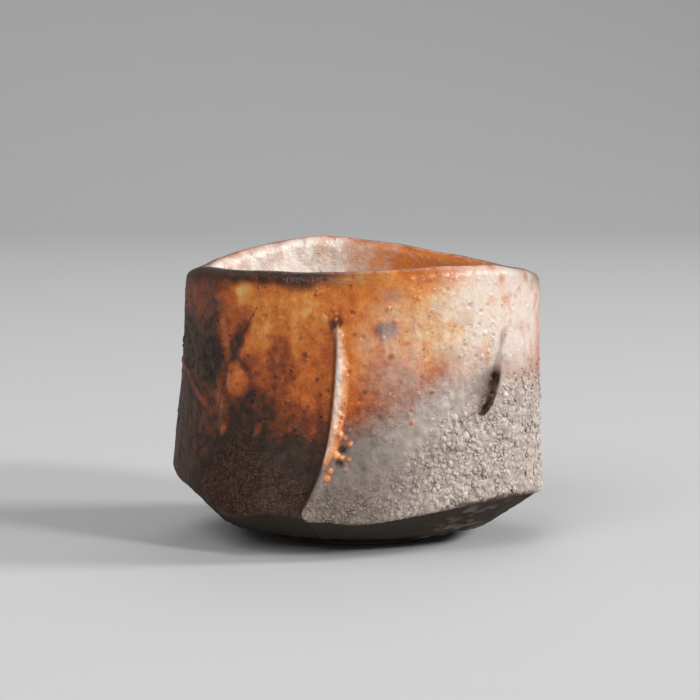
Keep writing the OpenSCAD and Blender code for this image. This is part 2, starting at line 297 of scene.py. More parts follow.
def facing(azimuth, middle, half_width, fade):
    """1 round a middle azimuth, fading to 0 at half the width from it, all in degrees."""
    return smooth((half_width - np.abs(wrapped(azimuth - middle))) / fade)


def turns(count):
    """Azimuths at equal steps round the whole turn."""
    return np.linspace(0, 360, count, endpoint=False)


def rows(first, last, count):
    """Even steps, one for each ring of a grid."""
    return np.linspace(first, last, count)[:, None]


def stacked(*shares):
    """Several values for each point, side by side."""
    return np.stack(np.broadcast_arrays(*shares), axis=-1)


def round_trip(values, azimuth):
    """A closed curve through one value at each equal share of the turn."""
    v = np.array(values, float)
    n = len(v)
    at = (np.asarray(azimuth, float) / 360 % 1) * n
    i = np.floor(at).astype(int)
    u = at - i
    a, b, c, d = v[(i - 1) % n], v[i % n], v[(i + 1) % n], v[(i + 2) % n]
    return b + u * (c - a + u * (2 * a - 5 * b + 4 * c - d + u * (3 * (b - c) + d - a))) / 2


def at_each(points, size, pattern):
    """What a pattern gives for each point, where its features are about size across."""
    flat = points.reshape(-1, 3) / size
    return np.array([pattern(Vector(p)) for p in flat]).reshape(points.shape[:-1])


def grain(points, size, octaves=1):
    """Soft noise from -1 to 1, whose lumps are about size across."""
    return at_each(points, size, lambda p: noise.fractal(p, 0.6, 2.1, octaves))


def cobbles(points, size):
    """Rounded lumps packed side by side, each about size across."""
    return at_each(points, size, lambda p: 0.45 - noise.voronoi(p)[0][0])


def swell(points):
    """The slow unevenness of a hand-made wall, the same for every coat that meets there."""
    return MM * (0.16 * grain(points, 8 * MM) + 0.07 * grain(points + 0.05, 3 * MM))


def on_run(azimuth, height, half_width):
    """1 on the raised run at the left of the wall, and 0 away from it."""
    near = np.full(np.shape(height), np.inf)
    for (a0, z0), (a1, z1) in zip(RUN, RUN[1:]):
        x, y = wrapped(azimuth - a0) * MM_PER_DEGREE, height - z0
        dx, dy = (a1 - a0) * MM_PER_DEGREE, z1 - z0
        share = np.clip((x * dx + y * dy) / (dx * dx + dy * dy), 0, 1)
        near = np.minimum(near, np.hypot(x - share * dx, y - share * dy))
    return smooth(1.6 - near / half_width)


class Form:
    """The cup's surface, as a radius and height for an azimuth and a level on the wall.

    An azimuth is in degrees from the front by the right-hand side. A level goes from 0 at the
    sharp lower edge to 1 at the lip's roll.
    """

    def __init__(self, context):
        self.s = context.scene.guinomi_sizes

    def edge_height(self, azimuth):
        return self.s.edge_low + self.s.edge_swing * round_trip(EDGE_SHARES, azimuth)

    def wall_top(self, azimuth):
        lip = self.s.lip_low + self.s.lip_swing * round_trip(LIP_SHARES, azimuth)
        return lip - self.s.lip_round

    def height(self, azimuth, level):
        return mix(self.edge_height(azimuth), self.wall_top(azimuth), level)

    def level(self, azimuth, height):
        low = self.edge_height(azimuth)
        return np.clip((height - low) / (self.wall_top(azimuth) - low), 0, 1)

    def line_azimuth(self, i, level):
        """Where a carved line runs. Lines are counted on into the next turn."""
        round_again, i = divmod(i, len(LINES))
        azimuth, lip, lip_power, edge, edge_power, top = LINES[i]
        begins = CUT_SHARES[i][5]
        azimuth = azimuth + 360 * round_again + lip * np.minimum(level, top) ** lip_power
        azimuth = azimuth + edge * (1 - np.maximum(level, begins)) ** edge_power
        if i in BACK_LINES:
            azimuth = azimuth + WAVER * np.sin(8 * level + 2 * i)
        if i == 0:
            azimuth = azimuth + TOE_TURN * (1 - np.minimum(level / TOE_LEVEL, 1)) ** 2
        return azimuth

    def line_strength(self, i, level):
        begins, ends = CUT_SHARES[i][5], LINES[i][5]
        fade = SHORT_FADE_LEVEL if i in SHALLOW_LEVELS else FADE_LEVEL
        low = smooth((level - begins) / fade) if begins > 0 else 1
        high = smooth((ends - level) / FADE_LEVEL)
        if i in SHALLOW_LEVELS:
            high = high * mix(1, 0.3, smooth((level - SHALLOW_LEVELS[i]) / FADE_LEVEL))
        return low * high

    def blank_radius(self, azimuth, level):
        a = self.s.blank_width / 2 - self.s.draw_in * level
        b = self.s.blank_depth / 2 - self.s.draw_in * level
        turn = np.radians(azimuth)
        return 1 / np.sqrt((np.sin(turn) / a) ** 2 + (np.cos(turn) / b) ** 2)

    def facet_cut(self, azimuth, level):
        """The share of the blank's radius that the broad facets leave."""
        cut = np.ones(np.broadcast(azimuth, level).shape)
        for (i, corner, flat), (j, next_corner, _) in zip(CORNERS, CORNERS[1:]):
            start, end = self.line_azimuth(i, level), self.line_azimuth(j, level)
            share = ((azimuth - start) % 360) / (end - start)
            bow = 1 - np.cos(np.radians(end - start) / 2)
            facet = mix(corner, next_corner, share) - flat * bow * 4 * share * (1 - share)
            cut = np.where((share >= 0) & (share < 1), facet, cut)
        return mix(1, cut, smooth((1 - level) / 0.5))

    def line_relief(self, i, azimuth, level, radius):
        """The hollows, the step and the ridge beside one carved line."""
        along = np.radians(wrapped(azimuth - self.line_azimuth(i, level))) * radius
        left, left_reach, right, right_reach, ridge, _ = CUT_SHARES[i]

        def hollow(depth, reach):
            share = np.minimum(1, np.abs(along) / (reach * self.s.cut_reach))
            return depth * self.s.cut_step * (1 - share) ** 1.5

        uneven = 1 + 0.25 * np.sin(level * 23 + i) + 0.15 * np.sin(level * 51 + 2 * i)
        slim = mix(0.5, 1, smooth((LINES[i][5] - level) / 0.14))
        across = (along / (self.s.ridge_breadth * slim) - 0.35) / uneven
        rib = 1.15 * self.s.ridge_height * ridge * uneven * np.exp(-((across / 0.62) ** 2))
        over = smooth(along / (self.s.step_face * FACE_SHARES[i]) + 0.5)
        relief = mix(-hollow(left, left_reach), rib - hollow(right, right_reach), over)
        return self.line_strength(i, level) * relief

    def wall_radius(self, azimuth, level):
        radius = self.blank_radius(azimuth, level) * self.facet_cut(azimuth, level)
        lines = range(len(LINES))
        return radius + sum(self.line_relief(i, azimuth, level, radius) for i in lines)

    def behind_scoop(self, azimuth, level):
        """How much deeper the layers lie behind the scooped crescent."""
        far = (wrapped(azimuth - 49) / 8) ** 2 + ((level - 0.5) / 0.2) ** 2
        return 0.8 * MM * np.exp(-far)

    def place(self, azimuth, radius, height, level):
        turn = np.radians(azimuth)
        x = radius * np.sin(turn) + self.s.lip_lean * level
        return stacked(x, -radius * np.cos(turn), height)

    def on_wall(self, azimuth, level, inset):
        """Points a little inside the wall's surface."""
        radius = self.wall_radius(azimuth, level) - inset
        return self.place(azimuth, radius, self.height(azimuth, level), level)

    def columns(self, counts, level):
        """Azimuths that follow the carved lines at a level, closer together beside a line."""
        made = []
        for i, count in enumerate(counts):
            even = (np.arange(count) + 0.5) / count
            bunched = mix(even, (1 - np.cos(np.pi * even)) / 2, 0.5)
            made.append(mix(self.line_azimuth(i, level), self.line_azimuth(i + 1, level), bunched))
        return np.concatenate(made)

    def beside(self, i, azimuth, level):
        """Distance from a carved line, to its right, in mm."""
        turn = np.radians(wrapped(azimuth - self.line_azimuth(i, level)))
        return turn * self.s.blank_width / 2 / MM


def paint(mesh, name, values):
    """Stores four shares for each vertex, for a material to read."""
    layer = mesh.color_attributes.new(name, "FLOAT_COLOR", "POINT")
    layer.data.foreach_set("color", np.asarray(values).reshape(-1).astype(np.float32))


def move(mesh, points):
    """Sets where a mesh's vertices are, and keeps them inside the solids' box."""
    inside = np.clip(points, CAD_LOW, CAD_HIGH)
    mesh.vertices.foreach_set("co", inside.reshape(-1).astype(np.float32))


def fill(mesh, bm):
    """Puts what was built into a mesh, with its faces shaded smooth."""
    for face in bm.faces:
        face.smooth = True
    bm.to_mesh(mesh)
    bm.free()


def joined_grid(name, points, close_rings=False, **maps):
    """A mesh from a grid of points, rings by columns. The columns go once round and join up."""
    def join(grid):
        grid = np.concatenate([grid, grid[:, :1]], axis=1)
        return np.concatenate([grid, grid[:1]]) if close_rings else grid

    points = join(points)
    rings, columns = points.shape[:2]
    bm = bmesh.new()
    bmesh.ops.create_grid(bm, x_segments=columns - 1, y_segments=rings - 1, size=1)
    mesh = bpy.data.meshes.new(name)
    bm.to_mesh(mesh)
    move(mesh, points)
    for key, values in maps.items():
        paint(mesh, key, join(values))
    bm.clear()
    bm.from_mesh(mesh)
    bmesh.ops.remove_doubles(bm, verts=bm.verts, dist=WELD_DISTANCE)
    bmesh.ops.recalc_face_normals(bm, faces=bm.faces)
    fill(mesh, bm)
    mesh.set_sharp_from_angle(angle=SHARP_ANGLE)
    mesh.update()
    return mesh


def put(name, mesh, material, slot, *nodes):
    """Shows a mesh as a piece that stands for CAD nodes, or for none, and rides on the cup."""
    piece = bpy.data.objects.new(name, mesh)
    bpy.context.scene.collection.objects.link(piece)
    mesh.materials.append(material)
    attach(piece, "root")
    if nodes:
        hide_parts(*nodes)


def pale_share(form, azimuth, level):
    """How pale the dry glaze is, which changes at the front line."""
    pale = round_trip(PALE_SHARES, azimuth)
    right = smooth(form.beside(0, azimuth, level) / 0.8 + 0.5)
    front = mix(0.05, np.maximum(pale, 0.45), right)
    return mix(pale, front, facing(azimuth, -12, 24, 12))


def worn_share(azimuth):
    """How much duller the glaze is on the side that the ash didn't reach."""
    return facing(azimuth, -84, 38, 20)


def bead_share(azimuth, height):
    """How thickly the beads stand, from 0 to 1."""
    return smooth((round_trip(BEAD_LINE, azimuth) - height / MM) / 6 + 0.45)


class Glaze:
    """Where the glaze is dark, pale, grey, milky or burnt, and its painted shade and highlights."""

    def __init__(self, form, azimuth, points, level=None):
        self.form, self.azimuth, self.points = form, azimuth, points
        self.height = points[..., 2] / MM
        self.level = form.level(azimuth, points[..., 2]) if level is None else level
        self.warp = grain(points, 5 * MM, 2)
        self.lift = grain(points + 0.1, 4 * MM, 2)
        # Borders between colours are looked up a little beside each point, so that they waver.
        self.a = wrapped(azimuth + 2.2 * self.warp)
        self.z = self.height + 1.1 * self.lift
        self.scorched = mix(0.3, 1, facing(azimuth, -36, 36.4, 26))
        self.dry = round_trip(GREY_LINE, azimuth + 2 * self.warp) - self.z
        # Where the drops near the front ridge's foot get a painted highlight.
        self.lit = facing(azimuth, -6, 9, 3)
        self.crest, self.lit_flank = self.front_ridge()
        self.drops = self.raised_marks()

    def shares(self):
        return stacked(self.tone(), self.grey(), self.milky(), self.dark())

    def from_mark(self, azimuth, height, size):
        """Distance from a mark, in its own radius."""
        across = wrapped(self.azimuth - azimuth) * MM_PER_DEGREE
        return np.hypot(across, self.height - height) / size

    def front_ridge(self):
        """Painted highlight and reflection along the top of the front ridge, warmest on its lit
        flank.
        """
        across = self.form.beside(0, self.azimuth, self.level)
        wide = 0.9 + 1.7 * between(self.level, 0.1, 0.8, 0.3, 0.12) + 0.4 * self.lift
        crest = between(across, -0.2, wide, 0.4, 0.8) * between(self.level, 0.18, 0.85, 0.1, 0.05)
        return crest, smooth((across / wide - 0.3) / 0.4)

    def raised_marks(self):
        """The raised drops and blisters, orange against the darker glaze, with a painted highlight
        near the front.
        """
        drops = np.zeros_like(self.height)
        for azimuth, height, size, rise, _ in MARKS:
            if rise > 0:
                edge = 1.25 - self.from_mark(azimuth, height, size) + 0.3 * self.warp
                drops = np.maximum(drops, min(1, 2.5 * rise) * smooth(edge / 0.6))
        return drops

    def stained(self, share, stains):
        """The share, or more of it within the ovals of a table."""
        for azimuth, height, half_width, half_height, strength in stains:
            far = np.hypot(wrapped(self.a - azimuth) / half_width, (self.z - height) / half_height)
            share = np.maximum(share, strength * smooth(1.5 - far))
        return share

    def tone(self):
        """From black to straw where the glaze ran, with painted highlights on the ridge and drops.
        """
        soft = smooth((np.abs(wrapped(self.azimuth)) - 58) / 16)
        tone = mix(0.22, 0.52, smooth((self.z - 19) / 10))
        for azimuth, height, half_width, half_height, lean, value in PATCHES:
            above = self.z - height
            across = wrapped(self.a - azimuth - lean * above)
            far = np.hypot(across / half_width, above / half_height)
            tone = mix(tone, value, smooth((1.5 + 0.2 * soft - far) / (1 + 0.6 * soft)))
        tone = mix(tone, 0.42, 0.8 * on_run(self.azimuth, self.height, 0.45))
        tone = tone + 0.06 * grain(self.points + 0.2, 2.2 * MM, 3)
        tone = tone + 0.04 * grain(self.points + 0.3, 0.9 * MM, 2)
        tone = tone * (1 - 0.42 * self.scorched * smooth(self.dry / 7 + 0.8))
        # Painted highlight along the top of the front ridge.
        tone = mix(tone, 0.84, 0.9 * self.crest)
        # The raised drops are orange, and near the front they also carry a painted highlight.
        tone = mix(tone, np.maximum(tone, 0.6 + 0.22 * self.lit), self.drops)
        return np.clip(tone, 0, 1)

    def grey(self):
        """The dry glaze lower down, and the smudges in the milky glaze."""
        grey = smooth(self.dry / mix(17, 10, self.scorched) + 0.43)
        grey = grey * (1 - 0.9 * self.crest) * (1 - 0.9 * self.drops)
        return self.stained(grey, SMUDGES)

    def milky(self):
        """The milky glaze, partly painted light on the right, and painted highlights on the ridge
        and drops.
        """
        crest = self.crest * (1 - 0.72 * self.lit_flank) * mix(0.6, 1, smooth((self.level - 0.3) / 0.3))
        return np.maximum(self.stained(crest, MILKY), 0.3 * self.drops * self.lit)

    def dark(self):
        """Burnt rim and edge, a dark spot atop the crescent, and painted shade in cuts, by the
        ridge and in craters.
        """
        below = self.height - self.form.wall_top(self.azimuth) / MM
        patchy = smooth(0.5 + 1.4 * grain(self.points + 0.6, 9 * MM, 2))
        patchy = patchy * (1 - facing(self.azimuth, 35, 48, 30))
        rim = np.maximum(facing(self.azimuth, -60, 60, 16), 0.06 + 0.6 * patchy)
        # Painted shadow in a thin strip on the left of the front ridge.
        ridge_shadow = between(self.form.beside(0, self.azimuth, self.level), -0.9, -0.15, 0.3, 0.25)
        top = np.hypot(wrapped(self.azimuth - 51.3) / 1.4, (self.height - 36.6) / 1.3)
        over = self.height - self.form.edge_height(self.azimuth) / MM
        burnt = facing(self.azimuth, 50, 27, 18) * smooth((1.3 + 0.5 * self.lift - over) / 0.7)
        places = [
            rim * smooth((below + 1.6 + 0.9 * self.lift) / 2.2),
            self.scoop_shade() * between(self.level, 0.375, 0.62, 0.02, 0.06),
            self.left_line() * between(self.level, 0.3, 0.9, 0.02, 0.06),
            0.6 * ridge_shadow * between(self.level, 0.1, 0.82, 0.05, 0.05),
            0.4 * smooth(1.5 - top + 0.4 * self.lift),
            0.9 * burnt,
        ]
        # Painted shade in the pits and craters, darker the deeper they are.
        for azimuth, height, size, depth, _ in MARKS:
            if depth < 0:
                edge = 0.85 - self.from_mark(azimuth, height, size) + 0.4 * self.lift
                places.append(min(1, -1.15 * depth) * smooth(edge / 0.6))
        return np.max(np.broadcast_arrays(*places), axis=0)

    def scoop_shade(self):
        """The scooped slope to the left of the crescent, darkest at its step."""
        face = self.form.beside(1, self.azimuth, self.level)
        wide = 0.25 + 8.5 * np.exp(-(((self.level - 0.515) / 0.1) ** 2))
        slope = 0.94 * np.clip((face + wide) / (0.92 * wide), 0, 1) ** 0.95
        return np.maximum(slope, smooth((face + 0.35) / 0.2)) * smooth((0.25 - face) / 0.15)

    def left_line(self):
        """Painted shade along the long thin line at the left, softer on its right."""
        face = self.form.beside(7, self.azimuth, self.level)
        line = 0.55 * np.exp(-(((face + 0.15) / 0.16) ** 2))
        return line + 0.4 * between(face, -0.35, 0.6, 0.2, 0.7)


class GUINOMI_OT_glazed_wall(bpy.types.Operator):
    """Makes the glazed wall over the carved clay"""

    bl_idname = "guinomi.glazed_wall"
    bl_label = "Glazed wall"

    # Columns between one carved line and the next, and rings outside and inside.
    counts = (144, 20, 70, 50, 44, 32, 54, 106)
    outer_rings = 174
    inner_rings = 14

    def execute(self, context):
        form = Form(context)
        s = form.s
        share = rows(0, 1, self.outer_rings)
        levels = mix(share**2, share, smooth(share / 0.06))
        azimuth = np.array([form.columns(self.counts, level) for level in levels[:, 0]])
        height = form.height(azimuth, levels)
        above = np.minimum(height - form.edge_height(azimuth), s.edge_round)
        under = s.edge_round - np.sqrt(s.edge_round**2 - (s.edge_round - above) ** 2)
        radius = form.wall_radius(azimuth, levels) - s.shrink - under
        points = form.place(azimuth, radius, height, levels)
        masks = Glaze(form, azimuth, points, levels).shares()
        relief, bead = self.skin(form, azimuth, points, masks)
        out = swell(points) + smooth((1 - levels) / 0.04) * relief
        grid = form.place(azimuth, radius + out, height, levels)

        pick = np.linspace(self.outer_rings - 1, 0, self.inner_rings).astype(int)
        coat = mix(THIN_COAT, s.wall_coat, smooth(levels[pick] / 0.1))
        coat = coat + form.behind_scoop(azimuth[pick], levels[pick])
        inner = form.place(azimuth[pick], radius[pick] - coat, height[pick], levels[pick])
        grid = np.concatenate([grid, inner])
        masks, bead = (np.concatenate([shares, shares[pick]]) for shares in (masks, bead))
        mesh = joined_grid("glazed_wall", grid, True, glaze_map=masks, bead_map=bead)
        put("glazed_wall", mesh, cup_glaze(context), "amber_glaze", "wall_glaze")
        return {"FINISHED"}

    def skin(self, form, azimuth, points, masks):
        """Fine relief of the glaze: crawled where it is dry, and pits and blisters where it ran."""
        height = points[..., 2]
        level = form.level(azimuth, height)
        beads = bead_share(azimuth, height)
        growth = np.clip(round_trip(BEAD_GROWTH, azimuth), 0.3, 1)
        small = cobbles(points + 0.4, 0.7 * MM)
        large = cobbles(points + 0.5, 1.3 * MM)
        soft = grain(points + 0.5, 1.7 * MM, 2)
        rough = grain(points + 0.8, 0.8 * MM, 2)
        dry, milky = masks[..., 1], masks[..., 2]
        lumps = 0.26 * small + growth * (0.3 * large + 0.12 * soft) + 0.08 * rough
        runs = grain(points * (1, 1, 0.3) + 0.2, 2.6 * MM, 2) * (1 - dry)
        out = 0.05 * soft + 0.12 * runs + dry * (0.02 * small + 0.05 * soft) + beads * lumps
        ridge = between(form.beside(0, azimuth, level), -0.6, 3, 0.4, 1) * smooth(milky / 0.4)
        out = out + ridge * (0.3 * large + 0.2 * soft + 0.22 * small)
        out = out + 0.16 * on_run(azimuth, height / MM, 0.5)
        # The lumps' tops are painted paler and the hollows darker, partly the glaze and partly
        # painted light and shade.
        tips = np.clip(beads * (0.12 + 1.5 * small + 0.9 * growth * large), 0, 1)
        maps = stacked(tips, beads, pale_share(form, azimuth, level), worn_share(azimuth))
        return MM * out + self.pits(form, points), maps

    def pits(self, form, points):
        """Pinholes, craters and blisters, first those that were seen, then more like them."""
        flat = points.reshape(-1, 3)
        tree = kdtree.KDTree(len(flat))
        for i, point in enumerate(flat):
            tree.insert(point, i)
        tree.balance()
        out = np.zeros(len(flat))
        random.seed(7)
        marks = list(MARKS)
        for _ in range(SCATTERED_MARKS):
            azimuth, height = random.uniform(-180, 180), random.uniform(20, 47)
            depth, size = random.choice((-0.2, -0.3, 0.15, 0.3)), random.uniform(0.25, 0.55)
            marks.append((azimuth, height, size, depth * size / 0.4, 0.06 if depth < 0 else 0))
        for azimuth, height, size, depth, rim in marks:
            level = float(form.level(azimuth, height * MM))
            if not 0.05 < level < 0.97:
                continue
            radius = form.wall_radius(azimuth, level) - form.s.shrink
            centre = form.place(azimuth, radius, height * MM, level)
            for _, i, far in tree.find_range(Vector(centre), 1.9 * size * MM):
                share = far / (size * MM)
                dip = max(0.0, 1 - share**2) ** 1.2
                lift = math.exp(-(((share - 1.1) / 0.3) ** 2))
                out[i] += MM * (depth * dip + rim * lift)
        return out.reshape(points.shape[:-1])


def arch(form, azimuth, outer, inner, rise, turn, sink=0):
    """Rings over the lip, from its outer face to its inner one."""
    radius = (outer + inner) / 2 + ((outer - inner) / 2 - sink) * np.cos(turn)
    height = form.wall_top(azimuth) + (rise - sink) * np.sin(turn)
    return form.place(azimuth, radius, height, 1)


def bowl(form, azimuth, lip, floor, turn, sink=0):
    """Rings down the well, from below the lip to the middle of its floor."""
    top = form.wall_top(azimuth)
    radius = (lip + sink) * np.maximum(0, np.cos(turn)) ** (2 / WELL_SQUARENESS)
    height = top - (top - floor + sink) * np.sin(turn) ** (2 / WELL_SQUARENESS)
    return form.place(azimuth, radius, height, 1)


def well_map(azimuth, points, well):
    """Shares of the well's own glaze, of its orange flush and of its depth."""
    side = (38 - np.abs(wrapped(azimuth - 140))) / 34
    flush = smooth(0.5 + side + 0.45 * grain(points, 6 * MM, 2))
    deep = smooth((26 * MM - points[..., 2]) / (16 * MM))
    return stacked(well, flush, deep, 0)


class GUINOMI_OT_rolled_lip(bpy.types.Operator):
    """Makes the lip with its dark rolled coat"""

    bl_idname = "guinomi.rolled_lip"
    bl_label = "Rolled lip"

    columns = 480
    outer_rings = 15
    inner_rings = 6

    def execute(self, context):
        form = Form(context)
        s = form.s
        azimuth = turns(self.columns)
        outer = form.wall_radius(azimuth, 1.0) - s.shrink
        inner = form.wall_radius(azimuth, 1.0) - s.lip_thickness + s.shrink
        sides = (form, azimuth, outer, inner, s.lip_round - s.shrink)
        turn = rows(0, math.pi, self.outer_rings)
        points = arch(*sides, turn, -swell(arch(*sides, turn)))
        back = rows(math.pi, 0, self.inner_rings)
        grid = np.concatenate([points, arch(*sides, back, s.wall_coat)])
        masks = Glaze(form, azimuth, grid, 1.0).shares()
        over = np.concatenate([turn, back]) / math.pi
        well = smooth((over - 0.5 + 0.1 * grain(grid, 3 * MM)) / 0.35)
        masks[..., 3] *= 1 - well
        bead = stacked(0, 0, 0, worn_share(azimuth) * (1 - well))
        inside = well_map(azimuth, grid, well)
        maps = {"glaze_map": masks, "bead_map": bead, "well_map": inside}
        mesh = joined_grid("rolled_lip", grid, True, **maps)
        put("rolled_lip", mesh, cup_glaze(context), "brown_glaze", "lip_glaze")
        return {"FINISHED"}


class GUINOMI_OT_well_lining(bpy.types.Operator):
    """Makes the pale glazed lining of the well"""

    bl_idname = "guinomi.well_lining"
    bl_label = "Well lining"

    columns = 300
    outer_rings = 70
    inner_rings = 14

    def execute(self, context):
        form = Form(context)
        s = form.s
        azimuth = turns(self.columns)
        lip = form.wall_radius(azimuth, 1.0) - s.lip_thickness + s.shrink
        floor = s.foot_height + s.floor_thickness + s.well_coat
        sides = (form, azimuth, lip, floor)
        share = rows(0, 1, self.outer_rings) ** 1.3
        turn = share * math.pi / 2
        points = bowl(*sides, turn)
        ripple = 0.06 * MM * np.sin(points[..., 2] / (2.6 * MM)) * smooth(share / 0.1)
        points = bowl(*sides, turn, -swell(points) * (1 - share) + ripple)
        points[-1] = points[-1].mean(axis=0)
        back = rows(math.pi / 2, 0, self.inner_rings)
        lower = bowl(*sides, back, s.well_coat)
        lower[0] = lower[0].mean(axis=0)
        grid = np.concatenate([points, lower])
        mesh = joined_grid("well_lining", grid, True, well_map=well_map(azimuth, grid, 1))
        put("well_lining", mesh, cup_glaze(context), "pale_glaze", "well_glaze")
        return {"FINISHED"}


class GUINOMI_OT_clay_body(bpy.types.Operator):
    """Makes the carved clay, bare on its pared underside"""

    bl_idname = "guinomi.clay_body"
    bl_label = "Clay body"

    # Columns between one carved line and the next, rings on the underside and the share of
    # them up to the knuckle.
    counts = (66, 8, 56, 44, 40, 30, 44, 56)
    base_rings = 44
    knuckle = 0.53

    def execute(self, context):
        form = Form(context)
        s = form.s
        base, chips = self.underside(form)
        hollow = s.foot_diameter / 2 - s.foot_breadth - 0.5 * MM
        seat = form.place(self.even(), hollow, s.foot_height, 0)
        pole = np.zeros_like(seat)
        pole[..., 2] = s.foot_height * 1.5
        rings = [pole[None], seat[None], base]
        for level in np.linspace(0.03, 1, 26):
            azimuth = form.columns(self.counts, level)
            coat = mix(0.35 * MM, s.wall_coat, smooth(level / 0.1)) + s.shrink
            inset = coat + form.behind_scoop(azimuth, level)
            rings.append(form.on_wall(azimuth, level, inset)[None])
        outer = form.wall_radius(azimuth, 1.0) - s.wall_coat - s.shrink
        inner = form.wall_radius(azimuth, 1.0) - s.lip_thickness + s.well_coat + s.shrink
        lip = arch(form, azimuth, outer, inner, s.lip_round - s.wall_coat, rows(0, math.pi, 7)[1:])
        floor = s.foot_height + s.floor_thickness
        well = bowl(form, azimuth, inner, floor, rows(0, math.pi / 2, 9)[1:])
        well[-1] = well[-1].mean(axis=0)
        grid = np.concatenate([*rings, lip, well])
        marks = np.zeros(grid.shape[:2])
        marks[2 : 2 + self.base_rings] = chips
        mesh = joined_grid("carved_clay", grid, clay_map=stacked(marks, marks, marks, marks))
        put("carved_clay", mesh, bare_clay(context, "clay", 0.95), "bare_clay", "clay_body")
        return {"FINISHED"}

    def underside(self, form):
        """The pared underside with its torn grain, and the shares of its chips of old glaze."""
        s = form.s
        share = rows(0, 1, self.base_rings)
        azimuth = mix(self.even(), form.columns(self.counts, 0.0), smooth((share - 0.6) / 0.4))
        rim = form.wall_radius(azimuth, 0.0) - s.shrink - 0.75 * s.edge_round
        radius = mix(s.foot_diameter / 2 + 0.5 * MM, rim, share)
        edge = form.edge_height(azimuth) + 0.1 * MM
        low = mix(s.foot_height, s.knuckle_height, share / self.knuckle)
        high = mix(s.knuckle_height, edge, (share - self.knuckle) / (1 - self.knuckle))
        base = form.place(azimuth, radius, np.where(share < self.knuckle, low, high), 0)
        torn = 0.28 * grain(base * (1, 1, 0.4), 2.4 * MM, 3) + 0.14 * grain(base + 0.3, 0.8 * MM, 2)
        hold = between(share, 0, 1, 0.08, 0.05)
        flakes = smooth((grain(base * (0.5, 0.5, 2) + 0.9, 1.6 * MM, 2) - 0.1) / 0.35)
        chips = facing(azimuth, 46, 18.2, 13) * hold * flakes
        base[..., 2] += (0.6 * torn * hold - 0.35 * chips) * MM
        return base, chips

    def even(self):
        """Evenly spaced azimuths from the front line's toe."""
        return turns(sum(self.counts)) + LINES[0][0] + LINES[0][3]


class GUINOMI_OT_foot(bpy.types.Operator):
    """Makes the low foot that the cup stands on"""

    bl_idname = "guinomi.foot"
    bl_label = "Foot"

    columns = 260

    def execute(self, context):
        form = Form(context)
        s = form.s
        azimuth = turns(self.columns)
        outer, top, soft = s.foot_diameter / 2, s.foot_height, 0.3 * MM
        inner = outer - s.foot_breadth
        profile = (
            (inner, top), (inner, top / 2), (inner + soft / 3, soft / 3), (inner + soft, 0),
            (mix(inner, outer, 0.3), 0), (mix(inner, outer, 0.6), 0), (outer - soft, 0),
            (outer - soft / 3, soft / 3), (outer, soft), (outer, top / 2), (outer, top),
        )
        rings = []
        for radius, height in profile:
            ring = form.place(azimuth, radius, height, 0)
            worn = grain(ring + 0.7, 1.8 * MM, 2) * 0.12 * MM
            if height > 0:
                ring[:, :2] *= (1 - np.abs(worn) / radius)[:, None]
            rings.append(ring[None])
        mesh = joined_grid("foot", np.concatenate(rings), True)
        put("foot", mesh, bare_clay(context, "pale_clay", 0.75), "pale_clay", "foot_ring")
        return {"FINISHED"}


# One lot of beads: its name and seed, the smallest and largest size as shares, how many at most,
# segments round and rings of each bead, first and last azimuth in degrees, and the least share
# that they grow to.
Lot = namedtuple("Lot", "name seed low high most segments rings first last least_growth")


